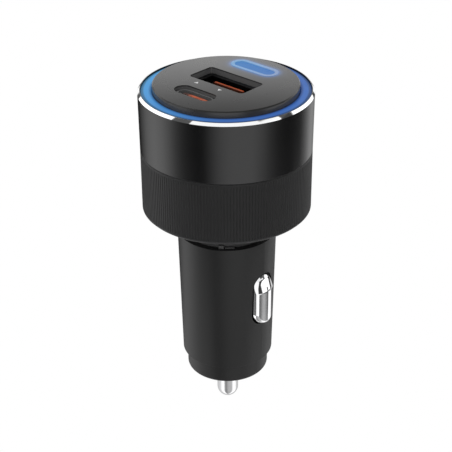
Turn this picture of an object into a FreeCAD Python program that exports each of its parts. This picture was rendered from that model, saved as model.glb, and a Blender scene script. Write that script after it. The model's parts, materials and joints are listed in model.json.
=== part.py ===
import FreeCAD, Part
import math
import os
import Sketcher

# A car USB charger plug that stands upright on its own axis.
# The origin is on the axis, in the plane of the head's underside. +Z points
# towards the ports, +X along the long side of the ports, and +Y from the small
# port towards the power button. All lengths are millimetres, angles degrees.

Vector = FreeCAD.Vector
Rotation = FreeCAD.Rotation
Placement = FreeCAD.Placement

SIZES = [
    ("head_radius", 18.0, "head at the rim"),
    ("head_flare", 0.1, "rim wider than the ribbed band, radially"),
    ("head_height", 25.96, "underside to the rim's outer edge"),
    ("seam_height", 13.49, "joint between the two head shells"),
    ("seam_chamfer", 0.15, "each shell's edge at the seam"),
    ("foot_chamfer", 0.4, "lower edge of the head"),
    ("bevel_width", 0.44, "bright bevel, radially"),
    ("bevel_height", 0.6, "bright bevel, upwards"),
    ("lip_width", 0.16, "flat between bevel and light ring"),
    ("shell_wall", 1.8, "wall of both head shells"),
    ("waist_wall", 1.2, "extra wall below the light ring's bay"),
    ("floor_thickness", 1.8, "floor of the lower shell"),
    ("spigot_length", 2.5, "lower shell inside the upper one"),
    ("spigot_wall", 1.5, "wall of that spigot"),
    ("spigot_clearance", 0.1, "spigot in the upper shell"),
    ("waist_clearance", 1.0, "above the spigot"),
    ("ledge_width", 1.2, "ledge that carries the port board"),
    ("ledge_thickness", 1.5, "same ledge"),
    ("rib_count", 180, "fine ribs round the lower shell"),
    ("rib_depth", 0.1, "groove between two ribs"),
    ("rib_backing", 0.14, "behind those grooves"),
    ("rib_crest", 0.56, "crest's share of a rib's pitch"),
    ("rib_margin", 0.35, "plain edge above and below the ribs"),
    ("ring_width", 2.2, "light ring, radially"),
    ("ring_thickness", 2.0, "light ring"),
    ("ring_drop", 0.15, "light ring below the bevel's top"),
    ("ring_clearance", 0.1, "light ring in the shell and round the panel"),
    ("panel_rise", 1.75, "panel face above the rim's outer edge"),
    ("panel_thickness", 1.4, "panel round the ports"),
    ("panel_edge", 0.2, "chamfer of the panel's edge"),
    ("skirt_wall", 1.2, "wall below the panel's edge"),
    ("skirt_drop", 0.2, "skirt below the light ring's seat"),
    ("post_inset", 3.0, "screw posts from the spigot's bore"),
    ("post_radius", 1.5, "screw posts"),
    ("port_offset_x", -0.83, "middle of the three openings"),
    ("port_offset_y", 0.93, "middle of the three openings"),
    ("small_port_pitch", 9.13, "wide port to small port"),
    ("button_inset", 5.32, "panel's edge to the power button's middle"),
    ("port_gap", 0.06, "port shells below the panel"),
    ("board_seat", 12.6, "underside of the port board"),
    ("board_thickness", 1.2, "port board and main board"),
    ("board_clearance", 0.2, "port board in the spigot"),
    ("screw_radius", 0.9, "screw shank"),
    ("screw_clearance", 0.05, "shank in its post"),
    ("screw_hole_clearance", 0.2, "shank in the port board"),
    ("screw_length", 6.2, "shank"),
    ("screw_head_radius", 1.6, "screw head"),
    ("screw_head_height", 1.1, "screw head"),
    ("wide_cut_length", 14.55, "panel opening of the wide port"),
    ("wide_cut_width", 6.85, "panel opening of the wide port"),
    ("wide_cut_corner", 0.9, "its corner radius"),
    ("wide_shell_length", 13.1, "metal shell of the wide port"),
    ("wide_shell_width", 5.7, "metal shell of the wide port"),
    ("wide_shell_corner", 0.5, "its corner radius"),
    ("wide_shell_wall", 0.3, "its sheet"),
    ("wide_lip_width", 0.9, "lip round its mouth, under the panel"),
    ("wide_lip_thickness", 0.3, "the same lip"),
    ("wide_base_height", 2.4, "insulator's base"),
    ("wide_tongue_length", 7.8, "insulator's tongue"),
    ("wide_tongue_thickness", 0.6, "insulator's tongue"),
    ("wide_tongue_offset", 0.8, "tongue from the port's middle"),
    ("wide_tongue_recess", 0.25, "tongue below the shell's mouth"),
    ("wide_contact_count", 4, "contact strips"),
    ("wide_contact_width", 1.0, "contact strips"),
    ("wide_contact_thickness", 0.2, "contact strips"),
    ("wide_contact_pitch", 2.2, "contact strips"),
    ("wide_contact_margin", 0.7, "contact strip to the tongue's tip"),
    ("small_cut_length", 10.1, "panel opening of the small port"),
    ("small_cut_width", 3.95, "panel opening of the small port"),
    ("small_shell_length", 8.94, "metal shell of the small port"),
    ("small_shell_width", 3.26, "metal shell of the small port"),
    ("small_shell_wall", 0.3, "its sheet"),
    ("small_shell_rise", 0.7, "shell inside the panel's opening"),
    ("small_base_height", 5.2, "insulator's base"),
    ("small_tongue_length", 6.2, "insulator's tongue"),
    ("small_tongue_thickness", 0.7, "insulator's tongue"),
    ("small_tongue_recess", 0.16, "tongue below the shell's mouth"),
    ("small_contact_count", 12, "contact strips on each face"),
    ("small_contact_width", 0.26, "contact strips"),
    ("small_contact_thickness", 0.08, "contact strips"),
    ("small_contact_pitch", 0.5, "contact strips"),
    ("small_contact_margin", 0.6, "contact strip to the tongue's tip"),
    ("insulator_clearance", 0.05, "insulators in their shells"),
    ("guide_length", 11.8, "light guide round the button"),
    ("guide_width", 4.4, "light guide round the button"),
    ("guide_ring", 0.75, "its visible width"),
    ("guide_clearance", 0.05, "guide in the panel"),
    ("guide_proud", 0.06, "guide above the panel"),
    ("guide_flange", 0.6, "flange under the panel"),
    ("guide_overhang", 0.5, "flange round the guide"),
    ("button_clearance", 0.12, "button in the guide"),
    ("button_sink", 0.05, "button face below the panel's face"),
    ("button_flange", 0.5, "flange under the guide"),
    ("button_overhang", 0.5, "flange round the button"),
    ("button_play", 0.15, "flange below the guide"),
    ("button_stem_radius", 0.9, "stem"),
    ("switch_length", 6.0, "switch body"),
    ("switch_width", 3.6, "switch body"),
    ("switch_height", 3.6, "switch body"),
    ("plunger_radius", 1.1, "switch plunger"),
    ("plunger_rise", 0.8, "plunger above the switch body"),
    ("plunger_depth", 0.5, "plunger inside the switch body"),
    ("plunger_travel", 0.7, "room below the plunger"),
    ("plunger_clearance", 0.06, "plunger in the switch body"),
    ("led_space", 1.8, "bay below the light ring"),
    ("led_board_thickness", 0.8, "ring board"),
    ("led_board_clearance", 0.1, "ring board in the shell"),
    ("led_board_width", 2.4, "ring board"),
    ("led_count", 12, "lamps on the ring board"),
    ("led_inset", 0.75, "lamps from the ring board's outer edge"),
    ("led_length", 1.6, "lamp"),
    ("led_width", 0.8, "lamp"),
    ("led_height", 0.6, "lamp"),
    ("led_pin_inset", 0.4, "pins from the ring board's inner edge"),
    ("led_pin_radius", 0.25, "pins to the ring board"),
    ("part_inset", 5.34, "parts under the port board from its ledge"),
    ("part_angle", 37.44, "the same parts, from the X axis"),
    ("chip_length", 5.0, "controller chip"),
    ("chip_height", 0.9, "controller chip"),
    ("coil_length", 7.0, "inductor under the port board"),
    ("coil_height", 4.2, "inductor under the port board"),
    ("coil_corner", 1.2, "its corner radius"),
    ("can_radius", 3.15, "capacitors under the port board"),
    ("can_height", 7.7, "capacitors under the port board"),
    ("can_groove", 0.25, "rolled groove in their cans"),
    ("can_collar", 0.6, "rubber end below that groove"),
    ("neck_depth", 3.5, "neck inside the barrel"),
    ("neck_gap", 0.15, "neck in the barrel's mouth"),
    ("neck_wall", 1.0, "neck"),
    ("neck_clearance", 0.05, "neck in the lower shell's floor"),
    ("neck_flange_width", 1.4, "neck's flange on that floor"),
    ("neck_flange_thickness", 1.0, "the same flange"),
    ("lug_width", 1.1, "locking lug on the neck"),
    ("lug_height", 0.7, "locking lug on the neck"),
    ("lug_depth", 0.8, "locking lug on the neck"),
    ("lug_angle", -54.6, "locking lug round the axis"),
    ("ramp_length", 2.0, "ramp beside the lug"),
    ("ramp_height", 0.3, "ramp beside the lug"),
    ("ramp_depth", 0.7, "ramp beside the lug"),
    ("ramp_angle", -44.0, "ramp round the axis"),
    ("barrel_top", -5.52, "upper end of the barrel"),
    ("barrel_length", 30.19, "barrel"),
    ("barrel_top_radius", 10.63, "barrel at its upper end"),
    ("barrel_taper", 0.66, "radius lost towards its lower end"),
    ("barrel_wall", 1.33, "barrel"),
    ("barrel_ring_height", 4.0, "threaded ring at the lower end"),
    ("barrel_ring_width", 1.06, "the same ring inside the barrel's wall"),
    ("contact_turn", 1.6, "side contacts round the axis"),
    ("contact_middle", -19.67, "middle of the side contacts"),
    ("contact_height", 11.9, "side contacts"),
    ("contact_width", 5.5, "side contacts"),
    ("contact_rise", 0.97, "their face outside the barrel's upper end"),
    ("contact_crown", 5.5, "radius of their crowned face"),
    ("contact_ramp", 4.4, "ramp at their upper end"),
    ("contact_ramp_drop", 1.4, "that ramp's foot behind the face"),
    ("contact_toe", 1.7, "ramp at their lower end"),
    ("contact_toe_drop", 0.9, "that ramp's foot behind the face"),
    ("contact_back_gap", 1.24, "their back behind the barrel's lower bore"),
    ("contact_flange", 0.7, "flange behind the barrel's wall"),
    ("contact_flange_margin", 0.6, "flange round the contact"),
    ("slot_gap", 0.35, "barrel's slot round the contact"),
    ("leaf_thickness", 0.22, "leaf springs"),
    ("leaf_width", 3.0, "leaf springs"),
    ("leaf_half_height", 5.6, "leaf springs"),
    ("leaf_foot", 0.9, "flat ends of the leaf springs"),
    ("seat_gap", 0.02, "leaf spring to its seats"),
    ("carrier_gap", 0.08, "carrier in the barrel"),
    ("carrier_top_gap", 0.5, "carrier below the neck"),
    ("leaf_room", 1.0, "spring seats to the side contacts' backs"),
    ("carrier_wall", 1.4, "behind the spring seats"),
    ("carrier_floor", 3.2, "below the cavity"),
    ("carrier_side_wall", 2.86, "beside the cavity"),
    ("pocket_side_gap", 0.9, "pockets beside the contacts' flanges"),
    ("pocket_end_gap", 0.65, "pockets below the contacts' flanges"),
    ("groove_depth", 1.3, "board's groove below the cavity's floor"),
    ("groove_clearance", 0.05, "board in its grooves"),
    ("main_board_inset", 0.96, "main board's edges inside the carrier"),
    ("small_chip_width", 5.0, "chip on the main board"),
    ("small_chip_height", 4.0, "chip on the main board"),
    ("small_chip_depth", 1.5, "chip on the main board"),
    ("small_chip_middle", -7.0, "chip on the main board"),
    ("small_coil_length", 6.0, "inductor on the main board"),
    ("small_coil_gap", 1.0, "the same inductor to the cavity's wall"),
    ("small_coil_middle", -21.0, "inductor on the main board"),
    ("small_can_gap", 0.4, "capacitor on the main board to the wall"),
    ("small_can_length", 9.0, "capacitor on the main board"),
    ("small_can_middle", -21.0, "capacitor on the main board"),
    ("terminal_radius", 3.4, "positive terminal's head"),
    ("terminal_thickness", 0.8, "positive terminal's head"),
    ("terminal_stem_radius", 1.5, "positive terminal's stem"),
    ("terminal_clearance", 0.05, "stem in the carrier"),
    ("nose_step", 0.97, "barrel's foot round the nose cap"),
    ("nose_length", 4.59, "nose cap below the barrel"),
    ("nose_fillet", 0.55, "its lower edge"),
    ("nose_floor", 1.3, "its floor"),
    ("nose_spigot_wall", 2.5, "its threaded spigot"),
    ("nose_spigot_gap", 0.3, "spigot below the carrier"),
    ("thread_clearance", 0.08, "spigot in the barrel's ring"),
    ("pin_radius", 2.41, "centre pin"),
    ("pin_length", 9.78, "centre pin below the nose cap"),
    ("pin_clearance", 0.07, "centre pin in the nose cap"),
    ("pin_flange_gap", 0.4, "centre pin's flange in the nose cap"),
    ("pin_flange_thickness", 1.0, "centre pin's flange"),
    ("pin_seat_gap", 0.03, "flange above the nose cap's floor"),
    ("pin_stub_radius", 1.7, "stub inside the spring"),
    ("pin_stub_length", 1.8, "stub inside the spring"),
    ("coil_spring_radius", 2.3, "pin spring's mean radius"),
    ("coil_spring_wire", 0.3, "pin spring's wire radius"),
    ("coil_spring_turns", 4.5, "pin spring"),
]

doc = FreeCAD.newDocument("car_usb_charger_plug")
sheet = doc.addObject("Spreadsheet::Sheet", "Size")


class Term:
    """A length that keeps both its formula in the sheet and its value."""

    def __init__(self, text, value):
        self.text = text
        self.value = value

    def joined(self, sign, other, value):
        return Term("(" + self.text + " " + sign + " " + term(other).text + ")", value)

    def __add__(self, other):
        return self.joined("+", other, self.value + term(other).value)

    def __sub__(self, other):
        return self.joined("-", other, self.value - term(other).value)

    def __mul__(self, other):
        return self.joined("*", other, self.value * term(other).value)

    def __truediv__(self, other):
        return self.joined("/", other, self.value / term(other).value)

    def __neg__(self):
        return Term("(0 - " + self.text + ")", -self.value)


def term(value):
    if isinstance(value, Term):
        return value
    return Term("(" + format(value, ".9f") + ")", float(value))


def cosine(angle):
    return Term("cos(" + angle.text + ")", math.cos(math.radians(angle.value)))


def sine(angle):
    return Term("sin(" + angle.text + ")", math.sin(math.radians(angle.value)))


class Sizes:
    """Each size of the sheet as a Term, under its alias."""


size = Sizes()
for row, (alias, value, note) in enumerate(SIZES, start=1):
    sheet.set("A" + str(row), alias)
    sheet.set("B" + str(row), str(value))
    sheet.set("C" + str(row), note)
    sheet.setAlias("B" + str(row), alias)
    setattr(size, alias, Term("Size." + alias, value))
doc.recompute()

NEAR = 0.001


# Building blocks

def bind(item, prop, length):
    item.setExpression(prop, term(length).text)


def put(item, x, y, z):
    bind(item, "Placement.Base.x", x)
    bind(item, "Placement.Base.y", y)
    bind(item, "Placement.Base.z", z)
    return item


def cylinder(name, radius, height, x=0, y=0, z=0):
    item = doc.addObject("Part::Cylinder", name)
    bind(item, "Radius", radius)
    bind(item, "Height", height)
    return put(item, x, y, z)


def box(name, length, width, height, x=0, y=0, z=0):
    """A box centred on x and y, standing on z."""
    item = doc.addObject("Part::Box", name)
    bind(item, "Length", length)
    bind(item, "Width", width)
    bind(item, "Height", height)
    return put(item, term(x) - term(length) / 2, term(y) - term(width) / 2, z)


def fuse(name, shapes):
    item = doc.addObject("Part::MultiFuse", name)
    item.Shapes = shapes
    item.Refine = True
    return item


def common(name, shapes):
    item = doc.addObject("Part::MultiCommon", name)
    item.Shapes = shapes
    return item


def cut(name, base, tools):
    item = doc.addObject("Part::Cut", name)
    item.Base = base
    item.Tool = tools[0] if len(tools) == 1 else group(name + "_tools", tools)
    item.Refine = True
    return item


def group(name, shapes):
    item = doc.addObject("Part::Compound", name)
    item.Links = shapes
    return item


def pill(name, length, width, height, x, y, z):
    """An upright bar with half-round ends, its long side along X."""
    reach = (term(length) - width) / 2
    end = term(width) / 2
    middle = box(name + "_middle", reach * 2, width, height, x, y, z)
    left = cylinder(name + "_left", end, height, term(x) - reach, y, z)
    right = cylinder(name + "_right", end, height, term(x) + reach, y, z)
    return fuse(name, [middle, left, right])


def side_pill(name, tall, wide, x_back, x_front, z):
    """A bar along X whose section is a tall pill centred on z."""
    reach = (term(tall) - wide) / 2
    depth = term(x_front) - x_back
    middle = doc.addObject("Part::Box", name + "_middle")
    bind(middle, "Length", depth)
    bind(middle, "Width", wide)
    bind(middle, "Height", reach * 2)
    put(middle, x_back, -term(wide) / 2, term(z) - reach)
    ends = []
    for word, level in (("low", term(z) - reach), ("high", term(z) + reach)):
        end = doc.addObject("Part::Cylinder", name + "_" + word)
        end.Placement = Placement(Vector(), Rotation(Vector(0, 1, 0), 90))
        bind(end, "Radius", term(wide) / 2)
        bind(end, "Height", depth)
        ends.append(put(end, x_back, 0, level))
    return fuse(name, [middle] + ends)


def origin_plane(body, role):
    return [item for item in body.Origin.OriginFeatures if item.Role == role][0]


def outline(body, name, role, points):
    """A closed sketch of straight lines whose corners are all dimensioned."""
    sketch = body.newObject("Sketcher::SketchObject", name)
    sketch.AttachmentSupport = (origin_plane(body, role), [""])
    sketch.MapMode = "FlatFace"
    corners = [(term(x), term(y)) for x, y in points]
    for index, (x, y) in enumerate(corners):
        next_x, next_y = corners[(index + 1) % len(corners)]
        start = Vector(x.value, y.value, 0)
        end = Vector(next_x.value, next_y.value, 0)
        sketch.addGeometry(Part.LineSegment(start, end), False)
    for index in range(len(corners)):
        after = (index + 1) % len(corners)
        sketch.addConstraint(Sketcher.Constraint("Coincident", index, 2, after, 1))
    for index, (x, y) in enumerate(corners):
        for kind, length in (("DistanceX", x), ("DistanceY", y)):
            rule = Sketcher.Constraint(kind, -1, 1, index, 1, length.value)
            number = sketch.addConstraint(rule)
            sketch.setExpression("Constraints[" + str(number) + "]", length.text)
    return sketch


def turned(name, points):
    """A body of revolution about Z from radius and height pairs."""
    body = doc.addObject("PartDesign::Body", name)
    sketch = outline(body, name + "_section", "XZ_Plane", points)
    solid = body.newObject("PartDesign::Revolution", name + "_turn")
    solid.Profile = sketch
    solid.ReferenceAxis = (sketch, ["V_Axis"])
    solid.Angle = 360
    return body


def block(name, length, width, height, x, y, z, corner):
    """A padded rectangle with rounded upright edges."""
    body = doc.addObject("PartDesign::Body", name)
    half_length = term(length) / 2
    half_width = term(width) / 2
    low_x = term(x) - half_length
    high_x = term(x) + half_length
    low_y = term(y) - half_width
    high_y = term(y) + half_width
    corners = [(low_x, low_y), (high_x, low_y), (high_x, high_y), (low_x, high_y)]
    sketch = outline(body, name + "_section", "XY_Plane", corners)
    pad = body.newObject("PartDesign::Pad", name + "_pad")
    pad.Profile = sketch
    bind(pad, "Length", height)
    doc.recompute()
    upright = [
        "Edge" + str(number)
        for number, edge in enumerate(pad.Shape.Edges, start=1)
        if edge.BoundBox.ZLength > NEAR
    ]
    rounded = body.newObject("PartDesign::Fillet", name + "_round")
    rounded.Base = (pad, upright)
    bind(rounded, "Radius", corner)
    bind(body, "Placement.Base.z", z)
    return body


def turn_with_contacts(item, half_turns=0):
    """Turns a piece of the plug's lower half round the axis."""
    angle = size.contact_turn + 180 * half_turns
    item.Placement = Placement(Vector(), Rotation(Vector(0, 0, 1), 1))
    bind(item, "Placement.Rotation.Angle", angle)
    return item


# Levels and radii that several pieces share

rim = size.head_height
bevel_top = rim + size.bevel_height
ring_top = bevel_top - size.ring_drop
ring_seat = ring_top - size.ring_thickness
led_seat = ring_seat - size.led_space
panel_top = rim + size.panel_rise
panel_under = panel_top - size.panel_thickness
seam = size.seam_height
spigot_top = seam + size.spigot_length
waist_floor = spigot_top + size.waist_clearance
board_top = size.board_seat + size.board_thickness

band_radius = size.head_radius - size.head_flare
ring_bore = size.head_radius - size.bevel_width - size.lip_width
ring_outside = ring_bore - size.ring_clearance
ring_inside = ring_outside - size.ring_width
panel_radius = ring_inside - size.ring_clearance
shell_bore = size.head_radius - size.shell_wall
waist_bore = shell_bore - size.waist_wall
band_bore = band_radius - size.shell_wall
spigot_radius = shell_bore - size.spigot_clearance
spigot_bore = spigot_radius - size.spigot_wall
ledge_bore = spigot_bore - size.ledge_width
post_offset = spigot_bore - size.post_inset
post_hole = size.screw_radius + size.screw_clearance

wide_x = size.port_offset_x
wide_y = size.port_offset_y
small_y = wide_y - size.small_port_pitch
button_y = panel_radius - size.button_inset
guide_hollow_length = size.guide_length - size.guide_ring * 2
guide_hollow_width = size.guide_width - size.guide_ring * 2

barrel_foot = size.barrel_top - size.barrel_length
barrel_foot_radius = size.barrel_top_radius - size.barrel_taper
barrel_mouth = size.barrel_top_radius - size.barrel_wall
barrel_bore = barrel_foot_radius - size.barrel_wall
ring_face = barrel_foot + size.barrel_ring_height
neck_radius = barrel_mouth - size.neck_gap
neck_bore = neck_radius - size.neck_wall
neck_hole = neck_radius + size.neck_clearance
contact_face = size.barrel_top_radius + size.contact_rise
contact_back = barrel_bore - size.contact_back_gap
neck_foot = size.barrel_top - size.neck_depth

carrier_radius = barrel_bore - size.carrier_gap
carrier_flat = contact_back - size.leaf_room
cavity_reach = carrier_flat - size.carrier_wall
board_face = size.board_thickness / 2
main_board_width = (carrier_radius - size.main_board_inset) * 2

nose_foot = barrel_foot - size.nose_length
nose_radius = barrel_foot_radius - size.nose_step
thread_bore = barrel_bore - size.barrel_ring_width
nose_spigot = thread_bore - size.thread_clearance
nose_cavity = nose_spigot - size.nose_spigot_wall
terminal_under = ring_face - size.terminal_thickness
pin_seat = nose_foot + size.nose_floor + size.pin_seat_gap
pin_flange_top = pin_seat + size.pin_flange_thickness


# Head shells

def make_upper_shell():
    """The smooth sleeve with the bright bevel at its rim."""
    return turned("upper_shell", [
        (shell_bore, seam),
        (band_radius - size.seam_chamfer, seam),
        (band_radius, seam + size.seam_chamfer),
        (size.head_radius, rim),
        (size.head_radius - size.bevel_width, bevel_top),
        (ring_bore, bevel_top),
        (ring_bore, ring_seat),
        (shell_bore, ring_seat),
        (shell_bore, led_seat),
        (waist_bore, led_seat),
        (waist_bore, waist_floor),
        (shell_bore, waist_floor),
    ])


def make_rib_band(low, high, bore):
    """A ring whose outside is cut into fine upright ribs."""
    count = int(sheet.rib_count)
    crest = band_radius.value
    valley = crest - sheet.rib_depth
    half_crest = sheet.rib_crest / 2
    pitch = 360.0 / count
    points = []
    for index in range(count):
        for share, radius in ((-half_crest, crest), (half_crest, crest), (0.5, valley)):
            angle = math.radians((index + share) * pitch)
            points.append(Vector(radius * math.cos(angle), radius * math.sin(angle), low.value))
    section = Part.Face(Part.makePolygon(points + points[:1]))
    ring = section.extrude(Vector(0, 0, high.value - low.value))
    hollow = Part.makeCylinder(bore.value, high.value - low.value, Vector(0, 0, low.value))
    item = doc.addObject("Part::Feature", "rib_band")
    item.Shape = ring.cut(hollow)
    return item


def make_lower_shell():
    """The ribbed cup that the neck hangs in."""
    rib_low = size.foot_chamfer + size.rib_margin
    rib_high = seam - size.seam_chamfer - size.rib_margin
    core = band_radius - size.rib_depth - size.rib_backing
    cup = turned("lower_cup", [
        (neck_hole, 0),
        (band_radius - size.foot_chamfer, 0),
        (band_radius, size.foot_chamfer),
        (band_radius, rib_low),
        (core, rib_low),
        (core, rib_high),
        (band_radius, rib_high),
        (band_radius, seam - size.seam_chamfer),
        (band_radius - size.seam_chamfer, seam),
        (spigot_radius, seam),
        (spigot_radius, spigot_top),
        (spigot_bore, spigot_top),
        (spigot_bore, size.board_seat),
        (ledge_bore, size.board_seat),
        (ledge_bore, size.board_seat - size.ledge_thickness),
        (band_bore, size.board_seat - size.ledge_thickness),
        (band_bore, size.floor_thickness),
        (neck_hole, size.floor_thickness),
    ])
    return fuse("lower_shell", [cup, make_rib_band(rib_low, rib_high, core)])


def make_neck():
    """The tube that enters the barrel, with its flange on the head's floor."""
    flange_radius = neck_hole + size.neck_flange_width
    flange_top = size.floor_thickness + size.neck_flange_thickness
    tube = turned("neck_tube", [
        (neck_bore, neck_foot),
        (neck_radius, neck_foot),
        (neck_radius, size.floor_thickness),
        (flange_radius, size.floor_thickness),
        (flange_radius, flange_top),
        (neck_bore, flange_top),
    ])
    lug = make_neck_block("lug", size.lug_width, size.lug_depth, size.lug_height, size.lug_angle)
    ramp = make_neck_block("ramp", size.ramp_length, size.ramp_depth, size.ramp_height,
                           size.ramp_angle)
    return fuse("neck", [tube, lug, ramp])


def make_neck_block(name, width, depth, height, angle):
    """A small block that stands out of the neck, just above the barrel."""
    inside = size.neck_wall / 2
    item = doc.addObject("Part::Box", name + "_solid")
    bind(item, "Length", term(depth) + inside)
    bind(item, "Width", width)
    bind(item, "Height", height)
    put(item, neck_radius - inside, -term(width) / 2, size.barrel_top + size.seat_gap)
    turned_item = group(name, [item])
    turned_item.Placement = Placement(Vector(), Rotation(Vector(0, 0, 1), -1))
    bind(turned_item, "Placement.Rotation.Angle", angle)
    return turned_item


# Front panel, light ring and power button

def make_light_ring():
    """The translucent ring between the panel and the bevel."""
    return turned("light_ring", [
        (ring_inside, ring_seat),
        (ring_outside, ring_seat),
        (ring_outside, ring_top),
        (ring_inside, ring_top),
    ])


def make_front_panel():
    """The raised round panel with its three openings and two screw posts."""
    skirt_bore = panel_radius - size.skirt_wall
    skirt_low = ring_seat - size.skirt_drop
    disc = turned("panel_disc", [
        (0, panel_under),
        (skirt_bore, panel_under),
        (skirt_bore, skirt_low),
        (panel_radius, skirt_low),
        (panel_radius, panel_top - size.panel_edge),
        (panel_radius - size.panel_edge, panel_top),
        (0, panel_top),
    ])
    post_height = panel_under + size.panel_thickness / 2 - board_top
    posts = []
    holes = []
    for word, side in (("right", 1), ("left", -1)):
        x = post_offset * side
        posts.append(cylinder("post_" + word, size.post_radius, post_height, x, 0, board_top))
        depth = size.screw_length
        holes.append(cylinder("post_hole_" + word, post_hole, depth, x, 0, board_top))
    cut_height = size.panel_thickness * 3
    cut_low = panel_under - size.panel_thickness
    wide_cut = block("wide_cut", size.wide_cut_length, size.wide_cut_width, cut_height,
                     wide_x, wide_y, cut_low, size.wide_cut_corner)
    small_cut = pill("small_cut", size.small_cut_length, size.small_cut_width, cut_height,
                     wide_x, small_y, cut_low)
    button_cut = pill("button_cut", size.guide_length, size.guide_width, cut_height,
                      wide_x, button_y, cut_low)
    solid = fuse("panel_solid", [disc] + posts)
    return cut("front_panel", solid, [wide_cut, small_cut, button_cut] + holes)


def make_button_light_guide():
    """The translucent collar round the power button, with a flange under the panel."""
    low = panel_under - size.guide_flange
    length = size.guide_length - size.guide_clearance * 2
    width = size.guide_width - size.guide_clearance * 2
    collar = pill("guide_collar", length, width, panel_top + size.guide_proud - low,
                  wide_x, button_y, low)
    overhang = size.guide_overhang * 2
    flange = pill("guide_flange_plate", size.guide_length + overhang, size.guide_width + overhang,
                  size.guide_flange, wide_x, button_y, low)
    hollow = pill("guide_hollow", guide_hollow_length, guide_hollow_width,
                  size.panel_thickness * 3, wide_x, button_y, low - size.panel_thickness / 2)
    return cut("button_light_guide", fuse("guide_solid", [collar, flange]), [hollow])


def make_power_button():
    """The button's cap, its flange below the light guide and its stem."""
    guide_low = panel_under - size.guide_flange
    flange_low = guide_low - size.button_play - size.button_flange
    cap_length = guide_hollow_length - size.button_clearance * 2
    cap_width = guide_hollow_width - size.button_clearance * 2
    cap = pill("button_cap", cap_length, cap_width, panel_top - size.button_sink - flange_low,
               wide_x, button_y, flange_low)
    overhang = size.button_overhang * 2
    flange = pill("button_flange_plate", cap_length + overhang, cap_width + overhang,
                  size.button_flange, wide_x, button_y, flange_low)
    stem_low = board_top + size.switch_height + size.plunger_rise
    stem = cylinder("button_stem", size.button_stem_radius, flange_low - stem_low,
                    wide_x, button_y, stem_low)
    return fuse("power_button", [cap, flange, stem])


def make_switch():
    """The push switch on the port board and the plunger that the button presses."""
    body = box("switch_body", size.switch_length, size.switch_width, size.switch_height,
               wide_x, button_y, board_top)
    switch_top = board_top + size.switch_height
    plunger_low = switch_top - size.plunger_depth
    bore = cylinder("switch_bore", size.plunger_radius + size.plunger_clearance,
                    size.plunger_depth + size.plunger_travel * 2,
                    wide_x, button_y, plunger_low - size.plunger_travel)
    cut("button_switch", body, [bore])
    return cylinder("switch_plunger", size.plunger_radius,
                    size.plunger_depth + size.plunger_rise, wide_x, button_y, plunger_low)


# Ports

def make_wide_port():
    """The wide USB-A port: metal shell, insulator with its tongue, four contacts."""
    mouth = panel_under - size.port_gap
    height = mouth - board_top
    tube = block("wide_shell_tube", size.wide_shell_length, size.wide_shell_width, height,
                 wide_x, wide_y, board_top, size.wide_shell_corner)
    lip = block("wide_shell_lip", size.wide_shell_length + size.wide_lip_width * 2,
                size.wide_shell_width + size.wide_lip_width * 2, size.wide_lip_thickness,
                wide_x, wide_y, mouth - size.wide_lip_thickness,
                size.wide_shell_corner + size.wide_lip_width)
    outer = fuse("wide_shell_outer", [tube, lip])
    inner_length = size.wide_shell_length - size.wide_shell_wall * 2
    inner_width = size.wide_shell_width - size.wide_shell_wall * 2
    inner = box("wide_shell_inner", inner_length, inner_width, height * 2,
                wide_x, wide_y, board_top - height / 2)
    cut("usb_a_shell", outer, [inner])

    base = box("wide_base", inner_length - size.insulator_clearance * 2,
               inner_width - size.insulator_clearance * 2, size.wide_base_height,
               wide_x, wide_y, board_top)
    tongue_y = wide_y + size.wide_tongue_offset
    tongue_top = mouth - size.wide_tongue_recess
    tongue = box("wide_tongue", size.wide_tongue_length, size.wide_tongue_thickness,
                 tongue_top - board_top, wide_x, tongue_y, board_top)
    fuse("usb_a_insulator", [base, tongue])

    strips = []
    strip_low = board_top + size.wide_base_height
    strip_high = tongue_top - size.wide_contact_margin
    half = (size.wide_tongue_thickness + size.wide_contact_thickness) / 2
    count = int(sheet.wide_contact_count)
    for number in range(count):
        place = number - (count - 1) / 2
        strips.append(box("wide_strip_" + str(number + 1), size.wide_contact_width,
                          size.wide_contact_thickness, strip_high - strip_low,
                          wide_x + size.wide_contact_pitch * place, tongue_y - half, strip_low))
    group("usb_a_contacts", strips)


def make_small_port():
    """The small USB-C port: metal shell, insulator with its tongue, two rows of contacts."""
    mouth = panel_under + size.small_shell_rise
    height = mouth - board_top
    outer = pill("small_shell_outer", size.small_shell_length, size.small_shell_width, height,
                 wide_x, small_y, board_top)
    inner_length = size.small_shell_length - size.small_shell_wall * 2
    inner_width = size.small_shell_width - size.small_shell_wall * 2
    inner = pill("small_shell_inner", inner_length, inner_width, height * 2,
                 wide_x, small_y, board_top - height / 2)
    cut("usb_c_shell", outer, [inner])

    base = pill("small_base", inner_length - size.insulator_clearance * 2,
                inner_width - size.insulator_clearance * 2, size.small_base_height,
                wide_x, small_y, board_top)
    tongue_top = mouth - size.small_tongue_recess
    tongue = box("small_tongue", size.small_tongue_length, size.small_tongue_thickness,
                 tongue_top - board_top, wide_x, small_y, board_top)
    fuse("usb_c_insulator", [base, tongue])

    strips = []
    strip_low = board_top + size.small_base_height
    strip_high = tongue_top - size.small_contact_margin
    half = (size.small_tongue_thickness + size.small_contact_thickness) / 2
    count = int(sheet.small_contact_count)
    for word, side in (("front", -1), ("back", 1)):
        for number in range(count):
            place = number - (count - 1) / 2
            strips.append(box("small_strip_" + word + "_" + str(number + 1),
                              size.small_contact_width, size.small_contact_thickness,
                              strip_high - strip_low, wide_x + size.small_contact_pitch * place,
                              small_y + half * side, strip_low))
    group("usb_c_contacts", strips)


# Boards and the parts on them

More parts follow.
